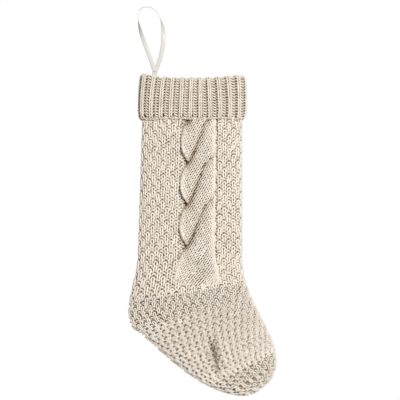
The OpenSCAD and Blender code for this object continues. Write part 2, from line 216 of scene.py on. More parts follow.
def tubeChart(out, side, lift):
    middle, half, across = rowFrame(chartT)
    depth = halfDepth(chartT, half)
    angle = np.linspace(np.pi, 0, chart["steps"])
    u = ringU(angle)
    bulge = np.abs(np.sin(angle)) ** (2 / stocking["roundness"])
    points = np.empty((len(chartT), chart["columns"], 3))
    for i, t in enumerate(chartT):
        halfWidth = max(half[i] + out, chart["least"])
        x = u * halfWidth
        y = bulge * max(depth[i] + out, chart["least"])
        run = np.concatenate([[0], np.cumsum(np.hypot(np.diff(x), np.diff(y)))])
        steps = np.linspace(0, run[-1], chart["columns"])
        x, y = np.interp(steps, run, x), np.interp(steps, run, y)
        inside = smooth((1 - np.abs(x) / halfWidth) / chart["edge"])  # no lift at the very edge
        y = y + lift(t, x) * inside
        points[i, :, 0] = middle[i, 0] + across[i, 0] * x
        points[i, :, 1] = side * (stocking["gap"] + y)
        points[i, :, 2] = middle[i, 1] + across[i, 1] * x
    normals = np.cross(np.gradient(points, axis=0), np.gradient(points, axis=1)) * -side
    normals /= np.maximum(np.linalg.norm(normals, axis=2), 1e-12)[..., None]
    return points, normals


def sample(grid, row, column):
    row = np.clip(row, 0, grid.shape[0] - 1.0001)
    column = np.clip(column, 0, grid.shape[1] - 1.0001)
    i, j = row.astype(int), column.astype(int)
    fi, fj = (row - i)[..., None], (column - j)[..., None]
    top = grid[i, j] * (1 - fj) + grid[i, j + 1] * fj
    low = grid[i + 1, j] * (1 - fj) + grid[i + 1, j + 1] * fj
    return top * (1 - fi) + low * fi


def onCloth(cloth, t, share, up):
    row = t / tipT * (chart["rows"] - 1)
    column = share * (chart["columns"] - 1)
    return sample(cloth[0], row, column) + sample(cloth[1], row, column) * up[..., None]


yarnDepth = 0.0021  # the yarn's middle lies this far under the outer skin
frontCloth = tubeChart(-yarnDepth, -1, frontLift)
backCloth = tubeChart(-yarnDepth, 1, backLift)
cableCloth = tubeChart(-yarnDepth, -1, gentleWave)
print("stocking: cloth charts made")


# materials

def newMaterial(name):
    material = bpy.data.materials.new(name)
    material.use_nodes = True
    nodes = material.node_tree.nodes
    return material, nodes, material.node_tree.links, nodes["Principled BSDF"]


def addNode(nodes, kind, inputs=None, **values):
    node = nodes.new(kind)
    for key, value in values.items():
        setattr(node, key, value)
    setInputs(node, inputs or {})
    return node


def setInputs(node, inputs):
    for name, value in inputs.items():
        node.inputs[name].default_value = value


def addBump(nodes, links, shader, height, strength, distance, **values):
    bump = addNode(nodes, "ShaderNodeBump", {"Strength": strength, "Distance": distance}, **values)
    links.new(height, bump.inputs["Height"])
    links.new(bump.outputs["Normal"], shader.inputs["Normal"])


def mathNode(nodes, links, operation, a, b=0.0):
    node = addNode(nodes, "ShaderNodeMath", operation=operation)
    for socket, value in zip(node.inputs, (a, b)):
        if isinstance(value, (int, float)):
            socket.default_value = value
        else:
            links.new(value, socket)
    return node.outputs[0]


def mixColours(nodes, links, share, a, b):
    node = addNode(nodes, "ShaderNodeMix", data_type="RGBA")
    links.new(share, node.inputs[0])
    for socket, value in zip((node.inputs[6], node.inputs[7]), (a, b)):
        if isinstance(value, tuple):
            socket.default_value = (*value, 1)
        else:
            links.new(value, socket)
    return node.outputs[2]


wool = dict(light=(0.88, 0.82, 0.74), dark=(0.80, 0.72, 0.62), grooveShade=(0.55, 0.43, 0.28),
            paintedShade=(0.27, 0.165, 0.07), plyPitch=0.0085, tone=140.0, toneDetail=3.0, toneFrom=0.35, toneTo=0.65,
            fibre=2600.0, fibreDetail=2.0, grooveFrom=-0.2, grooveTo=-1.0, grooveShadeShare=0.45, paintedShadeShare=0.9,
            plyHeight=0.5, fibreHeight=0.8, bump=0.55, bumpDistance=0.0003,
            rough=0.88, sheen=0.25, sheenRough=0.5, specular=0.2)


def woolMaterial():
    material, nodes, links, shader = newMaterial("creamWool")
    place = addNode(nodes, "ShaderNodeTexCoord").outputs["Object"]
    ply = addNode(nodes, "ShaderNodeAttribute", attribute_name="ply")
    parts = addNode(nodes, "ShaderNodeSeparateXYZ")
    links.new(ply.outputs["Vector"], parts.inputs[0])
    turn = mathNode(nodes, links, "MULTIPLY", parts.outputs[2], 2 * math.pi / wool["plyPitch"])
    cosPart = mathNode(nodes, links, "MULTIPLY", parts.outputs[0], mathNode(nodes, links, "COSINE", turn))
    sinPart = mathNode(nodes, links, "MULTIPLY", parts.outputs[1], mathNode(nodes, links, "SINE", turn))
    twist = mathNode(nodes, links, "SUBTRACT", cosPart, sinPart)  # 1 on a ply's crest, -1 in the groove
    tone = addNode(nodes, "ShaderNodeTexNoise", {"Scale": wool["tone"], "Detail": wool["toneDetail"]})
    fibre = addNode(nodes, "ShaderNodeTexNoise", {"Scale": wool["fibre"], "Detail": wool["fibreDetail"]})
    for noise in (tone, fibre):
        links.new(place, noise.inputs["Vector"])
    share = addNode(nodes, "ShaderNodeMapRange", {"From Min": wool["toneFrom"], "From Max": wool["toneTo"]})
    links.new(tone.outputs["Fac"], share.inputs["Value"])
    body = mixColours(nodes, links, share.outputs["Result"], wool["dark"], wool["light"])
    # painted shade: the yarn colour darkens towards the groove between its plies
    grooveShadeAmount = addNode(nodes, "ShaderNodeMapRange", {"From Min": wool["grooveFrom"], "From Max": wool["grooveTo"],
                                                 "To Max": wool["grooveShadeShare"]})
    links.new(twist, grooveShadeAmount.inputs["Value"])
    colour = mixColours(nodes, links, grooveShadeAmount.outputs["Result"], body, wool["grooveShade"])
    # painted shade: yarn that lies deep among the loops is mixed towards a dark brown
    paintedShade = addNode(nodes, "ShaderNodeAttribute", attribute_name="paintedShade")
    share = mathNode(nodes, links, "MULTIPLY", paintedShade.outputs["Fac"], wool["paintedShadeShare"])
    links.new(mixColours(nodes, links, share, colour, wool["paintedShade"]), shader.inputs["Base Color"])
    height = mathNode(nodes, links, "ADD", mathNode(nodes, links, "MULTIPLY", twist, wool["plyHeight"]),
                      mathNode(nodes, links, "MULTIPLY", fibre.outputs["Fac"], wool["fibreHeight"]))
    addBump(nodes, links, shader, height, wool["bump"], wool["bumpDistance"])
    setInputs(shader, {"Roughness": wool["rough"], "Sheen Weight": wool["sheen"],
                       "Sheen Roughness": wool["sheenRough"], "Specular IOR Level": wool["specular"]})
    return material


creamWool = woolMaterial()

# light and dark: painted shade seen through the gaps between loops; insideLight and insideDark: the cream
# wrong side of the knit
gapShadeAndInside = dict(light=(0.16, 0.09, 0.035), dark=(0.10, 0.055, 0.02), insideLight=(0.80, 0.73, 0.64),
              insideDark=(0.55, 0.47, 0.38), bumps=520.0, bump=0.6, bumpDistance=0.0006,
              rough=0.95, specular=0.15)


def wallMaterial(name, light, dark):
    material, nodes, links, shader = newMaterial(name)
    place = addNode(nodes, "ShaderNodeTexCoord").outputs["Object"]
    bumps = addNode(nodes, "ShaderNodeTexVoronoi", {"Scale": gapShadeAndInside["bumps"]})
    links.new(place, bumps.inputs["Vector"])
    height = bumps.outputs["Distance"]
    links.new(mixColours(nodes, links, height, light, dark), shader.inputs["Base Color"])
    addBump(nodes, links, shader, height, gapShadeAndInside["bump"], gapShadeAndInside["bumpDistance"], invert=True)
    setInputs(shader, {"Roughness": gapShadeAndInside["rough"], "Specular IOR Level": gapShadeAndInside["specular"]})
    return material


# the outer faces of the walls carry painted shade for the gaps between loops; the inner faces are the cream
# wrong side
paintedGapShade = wallMaterial("paintedGapShade", gapShadeAndInside["light"], gapShadeAndInside["dark"])
woolInside = wallMaterial("woolInside", gapShadeAndInside["insideLight"], gapShadeAndInside["insideDark"])

satin = dict(light=(0.70, 0.68, 0.63), dark=(0.55, 0.53, 0.48), threads=5200.0, threadRuns=60.0, detail=2.0,
             bump=0.15, bumpDistance=0.0001, rough=0.38, sheen=0.2)


def satinMaterial():
    material, nodes, links, shader = newMaterial("satinRibbon")
    uv = addNode(nodes, "ShaderNodeUVMap", uv_map="ribbon")
    stretch = addNode(nodes, "ShaderNodeMapping", {"Scale": (satin["threads"], satin["threadRuns"], 1)})
    links.new(uv.outputs["UV"], stretch.inputs["Vector"])
    threads = addNode(nodes, "ShaderNodeTexNoise", {"Scale": 1.0, "Detail": satin["detail"]})
    links.new(stretch.outputs["Vector"], threads.inputs["Vector"])
    links.new(mixColours(nodes, links, threads.outputs["Fac"], satin["dark"], satin["light"]),
              shader.inputs["Base Color"])
    addBump(nodes, links, shader, threads.outputs["Fac"], satin["bump"], satin["bumpDistance"])
    setInputs(shader, {"Roughness": satin["rough"], "Sheen Weight": satin["sheen"]})
    return material


satinRibbon = satinMaterial()
print("stocking: materials made")


# yarn: Geometry Nodes sweep a round yarn along the lines of a mesh of edges

yarn = dict(uneven=0.06, run=6, seed=11)  # run: points from one change of thickness to the next
chance = np.random.default_rng(yarn["seed"])
pieces = {}


def yarnNodes():
    tree = bpy.data.node_groups.new("yarnSweep", "GeometryNodeTree")
    sockets = (("Geometry", "INPUT", "Geometry"), ("Yarn Radius", "INPUT", "Float"),
               ("Yarn Sides", "INPUT", "Int"), ("Yarn Material", "INPUT", "Material"),
               ("Geometry", "OUTPUT", "Geometry"))
    for name, way, kind in sockets:
        tree.interface.new_socket(name, in_out=way, socket_type="NodeSocket" + kind)
    nodes, links = tree.nodes, tree.links
    source = nodes.new("NodeGroupInput")
    lines = nodes.new("GeometryNodeMeshToCurve")
    alongCurve = nodes.new("GeometryNodeCaptureAttribute")
    alongCurve.capture_items.new("FLOAT", "along")
    profile = nodes.new("GeometryNodeCurvePrimitiveCircle")
    perSide = mathNode(nodes, links, "DIVIDE", 4 * math.pi, source.outputs["Yarn Sides"])  # two plies
    index = nodes.new("GeometryNodeInputIndex")
    angle = mathNode(nodes, links, "MULTIPLY", index.outputs["Index"], perSide)
    aroundProfile = nodes.new("GeometryNodeCaptureAttribute")
    for name, operation in (("plyCos", "COSINE"), ("plySin", "SINE")):
        aroundProfile.capture_items.new("FLOAT", name)
        links.new(mathNode(nodes, links, operation, angle), aroundProfile.inputs[name])
    sweep = addNode(nodes, "GeometryNodeCurveToMesh", {"Fill Caps": True})
    thick = addNode(nodes, "GeometryNodeInputNamedAttribute", {"Name": "thick"}, data_type="FLOAT")
    ply = nodes.new("ShaderNodeCombineXYZ")
    storePly = addNode(nodes, "GeometryNodeStoreNamedAttribute", {"Name": "ply"}, data_type="FLOAT_VECTOR")
    place = addNode(nodes, "GeometryNodeInputNamedAttribute", {"Name": "place"}, data_type="FLOAT_VECTOR")
    storeMap = addNode(nodes, "GeometryNodeStoreNamedAttribute", {"Name": "OFBake"}, data_type="FLOAT2",
                       domain="CORNER")
    shade = nodes.new("GeometryNodeSetShadeSmooth")
    real = nodes.new("GeometryNodeRealizeInstances")
    paint = nodes.new("GeometryNodeSetMaterial")
    joined = (
        (source, "Geometry", lines, "Mesh"), (lines, "Curve", alongCurve, "Geometry"),
        (nodes.new("GeometryNodeSplineParameter"), "Length", alongCurve, "along"),
        (source, "Yarn Sides", profile, "Resolution"), (source, "Yarn Radius", profile, "Radius"),
        (profile, "Curve", aroundProfile, "Geometry"), (alongCurve, "Geometry", sweep, "Curve"),
        (aroundProfile, "Geometry", sweep, "Profile Curve"), (thick, "Attribute", sweep, "Scale"),
        (aroundProfile, "plyCos", ply, "X"), (aroundProfile, "plySin", ply, "Y"),
        (alongCurve, "along", ply, "Z"),
        (sweep, "Mesh", storePly, "Geometry"), (ply, "Vector", storePly, "Value"),
        (storePly, "Geometry", storeMap, "Geometry"), (place, "Attribute", storeMap, "Value"),
        (storeMap, "Geometry", shade, "Geometry"), (shade, "Geometry", real, "Geometry"),
        (real, "Geometry", paint, "Geometry"), (source, "Yarn Material", paint, "Material"),
        (paint, "Geometry", nodes.new("NodeGroupOutput"), "Geometry"),
    )
    for node, output, target, socket in joined:
        links.new(node.outputs[output], target.inputs[socket])
    return tree


yarnSweep = yarnNodes()


def inputKey(tree, name):
    return next(item.identifier for item in tree.interface.items_tree
                if item.item_type == "SOCKET" and item.in_out == "INPUT" and item.name == name)


def addObject(name, data):
    obj = bpy.data.objects.new(name, data)
    scene.collection.objects.link(obj)
    return obj


def addValues(mesh, name, kind, key, values):
    attribute = mesh.attributes.new(name, kind, "POINT")
    attribute.data.foreach_set(key, values.astype(np.float32).ravel())


def yarnPiece(name, lines, radius, sides=5):
    # lines: points, whether the end joins the start, and the painted shade of each point
    points = np.vstack([p for p, closed, paintedShade in lines])
    edges, first = [], 0
    for p, closed, paintedShade in lines:
        index = np.arange(first, first + len(p))
        edges.append(np.column_stack([index[:-1], index[1:]]))
        if closed:
            edges.append(np.array([[index[-1], index[0]]]))
        first += len(p)
    edges = np.vstack(edges)
    mesh = bpy.data.meshes.new(name + "Lines")
    mesh.vertices.add(len(points))
    mesh.vertices.foreach_set("co", points.astype(np.float32).ravel())
    mesh.edges.add(len(edges))
    mesh.edges.foreach_set("vertices", edges.astype(np.int32).ravel())
    low, high = points.min(axis=0), points.max(axis=0)
    place = (points - low) / np.maximum(high - low, 1e-6)
    knots = chance.normal(1, yarn["uneven"], len(points) // yarn["run"] + 2)
    thick = np.interp(np.arange(len(points)) / yarn["run"], np.arange(len(knots)), knots)
    addValues(mesh, "place", "FLOAT_VECTOR", "vector", place[:, [0, 2, 1]])
    addValues(mesh, "paintedShade", "FLOAT", "value", np.concatenate([paintedShade for p, closed, paintedShade in lines]))
    addValues(mesh, "thick", "FLOAT", "value", thick)
    obj = addObject(name, mesh)
    modifier = obj.modifiers.new("yarn", "NODES")
    modifier.node_group = yarnSweep
    for label, value in (("Yarn Radius", radius), ("Yarn Sides", sides), ("Yarn Material", creamWool)):
        modifier[inputKey(yarnSweep, label)] = value
    graph = bpy.context.evaluated_depsgraph_get()
    evaluated = obj.evaluated_get(graph)
    swept = bpy.data.meshes.new_from_object(evaluated, preserve_all_data_layers=True, depsgraph=graph)
    obj.modifiers.clear()
    obj.data = swept
    swept.name = name
    bpy.data.meshes.remove(mesh)
    pieces[name] = obj
    print("stocking:", name, len(swept.polygons), "faces")


# knitting: every row is one yarn that goes up, over and down again in each stitch

loop = dict(points=12, lean=0.19, reach=1.7, radius=0.00138, depth=0.00120, shake=0.05,
            lit=0.6, fall=1.4)  # painted shade darkens the yarn below the depth lit, fully after a fall of this much


def stitchRows(wales, rows, signs, shake=loop["shake"]):
    # wale, row and depth of every yarn point; rows count upwards, signs gives 1 for knit and -1 for purl
    s = np.linspace(0, 2 * np.pi, loop["points"], endpoint=False)
    j = np.asarray(wales)[None, :, None]
    r = np.asarray(rows)[:, None, None]
    wale = j + s / (2 * np.pi) + loop["lean"] * np.sin(2 * s) + 0 * r
    row = r - loop["reach"] / 2 * np.cos(s) + 0 * j
    here, above = signs(j, r), signs(j, r + 1)
    low = np.where(s < np.pi, -(signs(j - 1, r) + here) / 2, -(signs(j + 1, r) + here) / 2)
    end = np.where((s < np.pi / 2) | (s > 1.5 * np.pi), low, -above + 0 * s)
    depth = np.sin(s) ** 2 * here + np.cos(s) ** 2 * end
    shape = (r.shape[0], j.shape[1], 1)
    return [values + chance.normal(0, shake, shape) for values in (wale, row, depth)]


def yarnLines(places, depth, closed, seen=None):
    # one line for each row of stitches, or each seen run of it, with the painted shade of each point, from 0
    # to 1, which grows the deeper the yarn lies
    paintedShade = np.clip((loop["lit"] - depth) / loop["fall"], 0, 1)
    seen = np.ones(depth.shape, bool) if seen is None else seen
    lines = []
    for points, low, row in zip(places, paintedShade, seen):
        steps = np.diff(np.concatenate([[0], row.ravel().astype(int), [0]]))
        for start, end in zip(np.flatnonzero(steps > 0), np.flatnonzero(steps < 0)):
            if end - start >= loop["points"]:
                lines.append((points.reshape(-1, 3)[start:end], closed, low.ravel()[start:end]))
    return lines


def doubleMoss(j, r):
    return 1.0 - 2.0 * ((j + np.floor_divide(r, 2)) % 2)


def rib(j, r):
    return 1.0 - 2.0 * (j % 2) + 0 * r


def stockinette(j, r):
    return 1.0 + 0 * j + 0 * r


# leg: double moss, with a band of purl behind the cable; the yarn that the cable hides is left out

leg = dict(wales=23, pitch=0.0046, start=0.312, skin=0.165,  # skin: width of the cloth round the front
           cableLeft=9, cableRight=16, purlUp=0.004, purlArch=0.0012,
           dip=0.09, dipFrom=0.05, dipIn=0.03, dipTo=0.3, dipOut=0.08,
           cutUp=0.004, cutLeft=1.3, cutRight=1, shade=0.9, shadeIn=0.6, shadeOver=0.5)
legRows = int(round((leg["start"] - joinT) / leg["pitch"]))


def legT(row):
    return leg["start"] - row * leg["pitch"]


def besideCable(j, r):
    middle = (leg["cableLeft"] + leg["cableRight"] - 1) / 2
    purl = (j >= leg["cableLeft"]) & (j < leg["cableRight"])
    purl = purl & (legT(r) < cable["fadeEnd"] - leg["purlUp"] - leg["purlArch"] * (j - middle) ** 2)
    return np.where(purl, -1.0, doubleMoss(j, r))


def rowDip(t, share):
    # the rows hang lower beside the cable
    left = (leg["cableLeft"] / leg["wales"] - share) * leg["skin"]
    right = (share - leg["cableRight"] / leg["wales"]) * leg["skin"]
    away = np.maximum(np.maximum(left, right), 0)
    dip = -leg["dip"] * away * smooth((t - leg["dipFrom"]) / leg["dipIn"])
    return dip * smooth((leg["dipTo"] - t) / leg["dipOut"])


def cableEnd(d):
    # the cable runs out in an arch, lower on the right
    away = d - cable["shift"]
    return cable["fadeEnd"] - cable["endUp"] - cable["endArch"] * away ** 2 + cable["endTilt"] * away


def legLines(side):
    signs = besideCable if side < 0 else doubleMoss
    wale, row, depth = stitchRows(np.arange(leg["wales"]), np.arange(1, legRows + 1), signs)
    share = wale / leg["wales"]
    t = legT(row)
    t = t + (rowDip(t, share) if side < 0 else 0)
    places = onCloth(frontCloth if side < 0 else backCloth, t, share, depth * loop["depth"])
    besides = (t < cableEnd((share - 0.5) * leg["skin"]) - leg["cutUp"]) & (side < 0)
    left, right = leg["cableLeft"], leg["cableRight"]
    inCable = (wale > left + leg["cutLeft"]) & (wale < right - leg["cutRight"]) & besides
    # painted shade on the leg's stitches that show along the cable's edges, where the raised cable shades
    # them
    behind = smooth((wale - left - leg["shadeIn"]) / leg["shadeOver"])
    behind = behind * (wale < right - leg["shadeIn"]) * besides
    return yarnLines(places, depth - leg["shade"] * behind, False, ~inCable)


for name, side in (("frontLegYarn", -1), ("backLegYarn", 1)):
    yarnPiece(name, legLines(side), loop["radius"])


# foot: double moss in finer yarn, with painted shade in the crease by the toe

foot = dict(wales=33, pitch=0.0049, radius=0.00103, deeper=1.8, shade=-0.15, foldShade=1.4,
            clear=0.001, tuck=0.0018)
footRows = int(round((capT - leg["start"]) / foot["pitch"]))


def footT(row):
    return capT - foot["clear"] - row * (capT - leg["start"] + foot["tuck"]) / footRows


def fromMiddle(t, places):
    middle, across = rowFrame(t.ravel())[::2]
    away = places.reshape(-1, 3)[:, [0, 2]] - middle
    return (away * across).sum(axis=1).reshape(t.shape)


def footLines(side):
    wale, row, depth = stitchRows(np.arange(foot["wales"]), np.arange(footRows + 1), doubleMoss)
    up = depth * loop["depth"] * foot["deeper"]
    t = footT(row)
    places = onCloth(frontCloth if side < 0 else backCloth, t, wale / foot["wales"], up)
    along, beside = foldPlace(t, fromMiddle(t, places))
    near = np.exp(-((beside + fold["shadeAway"]) / (fold["shadeWidth"] * fold["width"])) ** 2)
    inFold = along * near * (side < 0)
    return yarnLines(places, depth - foot["shade"] - foot["foldShade"] * inFold, False)


for name, side in (("frontFootYarn", -1), ("backFootYarn", 1)):
    yarnPiece(name, footLines(side), foot["radius"])
print("stocking: panels knitted")


# cable: two bands of stockinette that take turns on top, from the upper right to the lower left

lobe = dict(above=0.75, below=1.75, past=0.004, diveOver=0.35, squeeze=5, underIn=0.25, underOver=0.6,
            rightFrom=0.7, rightOver=0.4, rightUp=0.5, lowerUp=0.3, faint=0.6,
            roundUpper=2.0, roundLower=(2.2, 4.0), flatUp=0.0004, riseFrom=0.006, riseOver=0.024,
            endDrop=0.003, endOver=0.008, narrowShade=1.9, narrowPower=4, wideShade=1.1, widePower=3,
            sideFrom=1.1, sideOver=0.4, diveShade=0.6, light=0.15,
            hidden=0.95, beyond=0.005, widest=1.03, lastWider=1 / 3)


def creaseBend(side):
    # the creases bend like an S: shallow at both ends, steep in the middle
    return cable["bend"] * np.sin(np.pi * np.clip(side / cable["bendEnd"], -1, 1))


def lobeLines(k):
    # lobe k lies between crease k, above it, and crease k + 1
    # its wales run down to the left and dive at the sides
    top = max(joinT, cable["first"] + (k - lobe["above"]) * cable["pitch"])
    bottom = min(cable["fadeEnd"] + lobe["past"], cable["first"] + (k + lobe["below"]) * cable["pitch"])
    isLast = k == cable["crossings"]
    wales = int(cable["wales"] * (2 if isLast else 1)) + 1
    rows = np.arange(int((bottom - top) / cable["rowPitch"]) + 1)
    wale, row, depth = stitchRows(np.arange(-1, wales + 1), rows, stockinette, cable["shake"])
    p = wale / cable["wales"] * 2 - 1  # from -1 to 1 between the two creases
    t = bottom - row * cable["rowPitch"] + cable["rowTilt"] * cable["pitch"] * p
    turn = (t - cable["first"]) / cable["pitch"] - k
    side = cable["steep"] * ((p + 1) / 2 - turn)  # from -1 at the left of the cable to 1 at the right
    p = p + 2 * creaseBend(side)
    ends = np.clip(turn - cable["middle"], 0 if k < 0 else -0.5, 0 if k >= cable["crossings"] - 1 else 0.5)
    reach = np.where(side < 0, cable["bulge"] - cable["hollow"] * ends ** 2, 1)
    dive = smooth((abs(side) / reach - 1) / lobe["diveOver"])
    side = side / (1 + np.abs(side / reach) ** lobe["squeeze"]) ** (1 / lobe["squeeze"])
    flat = smooth((t - cable["fadeStart"]) / (cable["fadeEnd"] - cable["fadeStart"]))
    spread = np.where(side < 0, cable["spreadLeft"], cable["spreadRight"])
    d = cable["shift"] + side * cable["width"] / 2 * (1 + spread * flat)
    inLobe = np.clip(np.minimum(p, 0) if isLast else p, -1, 1)
    under = smooth((side + lobe["underIn"]) / lobe["underOver"])  # 1 at the right, under the lobe above
    upper = mix(cable["edge"] + 0.5 * cable["overlap"], cable["edge"], under)
    atRight = smooth((side - lobe["rightFrom"]) / lobe["rightOver"])
    upper = mix(upper, lobe["rightUp"] * cable["crown"], atRight)
    lower = mix(cable["edge"] - 0.5 * cable["overlap"], lobe["lowerUp"] * cable["crown"], under)
    last = lobe["faint"] * (np.where(inLobe < 0, k, k + 1) == cable["crossings"])  # the last crease is faint
    rounding = np.abs(inLobe) ** np.where(inLobe < 0, lobe["roundUpper"], mix(*lobe["roundLower"], under))
    up = mix(cable["crown"], np.where(inLobe < 0, upper, lower), rounding * (1 - last))
    up = up - cable["drop"] * dive
    up = mix(lobe["flatUp"], up, smooth((t - joinT - lobe["riseFrom"]) / lobe["riseOver"]))
    up = mix(up, lobe["flatUp"], flat) - lobe["endDrop"] * smooth((t - cableEnd(d)) / lobe["endOver"])
    up = up + gather(t, d) + depth * cable["loopDepth"]
    places = onCloth(cableCloth, t, 0.5 + d / leg["skin"], up)
    narrow = lobe["narrowShade"] * np.abs(inLobe) ** lobe["narrowPower"]
    wide = lobe["wideShade"] * np.abs(inLobe) ** lobe["widePower"]
    shade = np.where(inLobe < 0, mix(narrow, wide, under), narrow * (1 - under))
    shade = shade * (1 - last) * smooth((lobe["sideFrom"] - side) / lobe["sideOver"])
    shade = (shade + lobe["diveShade"] * dive * (side < 0)) * (1 - flat)
    seen = (dive < lobe["hidden"]) & (t < cableEnd(d) + lobe["beyond"])
    seen = seen & (p > -lobe["widest"]) & ((p < lobe["widest"] + last * lobe["lastWider"]) | isLast)
    return yarnLines(places, depth + lobe["light"] - shade, False, seen)


lobes = [lobeLines(k) for k in range(-1, cable["crossings"] + 1)]
yarnPiece("cableYarnA", sum(lobes[1::2], []), cable["radius"])
yarnPiece("cableYarnB", sum(lobes[0::2], []), cable["radius"])
print("stocking: cable knitted")


# toe cap: closed rounds that lose stitches towards the tip

toe = dict(rowPitch=0.0042, stitch=0.0056, repeat=4, ringSteps=200, radius=0.00097, deeper=1.7, shade=0.12,
           last=0.012, tipRounds=7, tipPoints=40, tipUp=0.0005, tipShade=0.3,
           seamPoints=20, seamHalf=0.003, seamOut=0.7)


def ringPoint(t, around, up):
    around = np.mod(around, 1.0)
    front = around < 0.5
    share = np.where(front, around * 2, 2 - around * 2)
    return np.where(front[..., None], onCloth(frontCloth, t, share, up), onCloth(backCloth, t, share, up))


def roundRing(t, count, up):
    return ringPoint(np.full(count, t), np.arange(count) / count, np.full(count, up))


def ringLength(t):
    ring = roundRing(t, toe["ringSteps"], 0.0)
    return np.linalg.norm(np.roll(ring, -1, axis=0) - ring, axis=1).sum()


def toeLines():
    lines = []
    rounds = np.arange(capT, tipT - toe["last"], toe["rowPitch"])
    for i, t in enumerate(rounds[::-1]):
        count = toe["repeat"] * max(2, int(round(ringLength(t) / toe["stitch"] / toe["repeat"])))
        wale, row, depth = stitchRows(np.arange(count), np.array([i]), doubleMoss)
        along = t - (row - i) * toe["rowPitch"]
        up = depth * loop["depth"] * toe["deeper"]
        lines += yarnLines(ringPoint(along, wale / count, up), depth - toe["shade"], True)
    return lines


def tipLines():
    tip = np.array([(heelPath[-1, 0] + instepPath[-1, 0]) / 2, 0, (heelPath[-1, 1] + instepPath[-1, 1]) / 2])
    lines = []
    for k in range(toe["tipRounds"]):
        t = tipT - toe["last"] * (1 - k / toe["tipRounds"])
        ring = roundRing(t, toe["tipPoints"], toe["tipUp"])
        lines.append((ring, True, np.full(len(ring), toe["tipShade"])))
    centre = mix(lines[-1][0].mean(axis=0), tip, toe["seamOut"])
    seam = np.linspace(-1, 1, toe["seamPoints"])[:, None] * np.array([0, toe["seamHalf"], 0]) + centre
    lines.append((seam, False, np.zeros(toe["seamPoints"])))
    return lines


yarnPiece("toeYarn", toeLines() + tipLines(), toe["radius"])
print("stocking: toe knitted")


# cuff: the rib runs from the hem up the outside, over the roll and down the inside

cuff = dict(ribs=24, raised=0.42, rib=0.0015, rimDip=0.007, dipPower=3, rimCorner=0.004, cornerPower=12,
            foldGap=0.001, rowPitch=0.0038, radius=0.0011, shake=0.02, start=0.0035, inside=0.042,
            hemWave=0.0008, waves=7, waveShift=0.6, waveHeight=0.03, belly=0.001,
            tuck=0.0016, tuckHeight=0.014, furrowShade=0.06, fan=0.010, fanTurns=2,
            sway=0.0016, swayTurns=5, swayLean=4, slant=0.9, rollDown=0.004, rollOver=0.007, rollFlat=0.6,
            angles=1441, ahead=0.0005)
rollRadius = (2 * stocking["knit"] + cuff["foldGap"]) / 2


def evenAngles():
    t = np.array([stocking["cuffHeight"] / 2])
    half = rowFrame(t)[1]
    angle = np.linspace(0, 2 * np.pi, cuff["angles"])
    x, y = half * ringU(angle), halfDepth(t, half) * ringU(angle - np.pi / 2)
    run = np.concatenate([[0], np.cumsum(np.hypot(np.diff(x), np.diff(y)))])
    return run / run[-1], angle


evenShare, evenAngle = evenAngles()


def cuffProfile(top, v):
    # out and z of the yarn's middle, v metres up from the hem
    hemZ = rimZ - stocking["cuffHeight"]
    side = top - hemZ
    roll = rollRadius - yarnDepth
    turn = np.clip((v - side) / roll, 0, np.pi)
    below = np.maximum(v - side - np.pi * roll, 0) / cuff["inside"] * (top - rimZ + joinT)
    out = cuff["foldGap"] / 2 + roll * np.cos(turn)
    z = np.where(v < side, hemZ + v, top + roll * np.sin(turn) - below)
    out = out + cuff["belly"] * np.sin(np.pi * np.clip(v / side, 0, 1)) * (v < side)
    out = out - cuff["tuck"] * np.clip(1 - v / cuff["tuckHeight"], 0, 1) ** 2
    return out, z


def ribLean(around, v):
    # the ribs of the front and back spread towards the hem, and sway a little
    height = np.clip(v / stocking["cuffHeight"], 0, 1)
    sway = cuff["sway"] * np.sin(2 * np.pi * cuff["swayTurns"] * around + cuff["swayLean"] * height)
    return around + (cuff["fan"] * np.sin(2 * np.pi * cuff["fanTurns"] * around) + sway) * height


def cuffPoint(around, v, up):
    angle = np.interp(np.mod(ribLean(around, v), 1.0), evenShare, evenAngle)
    u = ringU(angle)
    dip = cuff["rimDip"] * (1 - np.abs(u) ** cuff["dipPower"])
    top = rimZ - (dip + cuff["rimCorner"] * np.maximum(u, 0) ** cuff["cornerPower"]) - rollRadius
    out, z = cuffProfile(top, v)
    ahead, zAhead = cuffProfile(top, v + cuff["ahead"])
    slope = np.stack([ahead - out, zAhead - z], axis=-1)
    slope = slope / np.linalg.norm(slope, axis=-1)[..., None]
    out, z = out + slope[..., 1] * up, z - slope[..., 0] * up
    wave = cuff["hemWave"] * np.sin(cuff["waves"] * angle + cuff["waveShift"])
    wave = wave * np.clip(1 - v / cuff["waveHeight"], 0, 1)
    level = np.clip(rimZ - z, 0, None)
    middle, half = rowFrame(level.ravel())[:2]
    depth = halfDepth(level.ravel(), half).reshape(level.shape)
    x = middle[:, 0].reshape(level.shape) + u * (half.reshape(level.shape) + out)
    y = -(depth + out) * ringU(angle - np.pi / 2)
    return np.stack([x, y, z + wave], axis=-1)


def ribPlace(wale):
    # share of the way round, and relief, for wales that are raised and sunk by turns
    whole = np.floor(wale / 2)
    part = wale - 2 * whole
    raised = cuff["raised"]
    inRib = np.where(part < 1, part * raised, raised + (part - 1) * (1 - raised))
    return (whole + inRib) / cuff["ribs"], cuff["rib"] * np.cos(2 * np.pi * (inRib - raised / 2))


def cuffLength():
    straight = stocking["cuffHeight"] - rollRadius - cuff["rimDip"] / 2
    return straight + np.pi * (rollRadius - yarnDepth) + cuff["inside"]


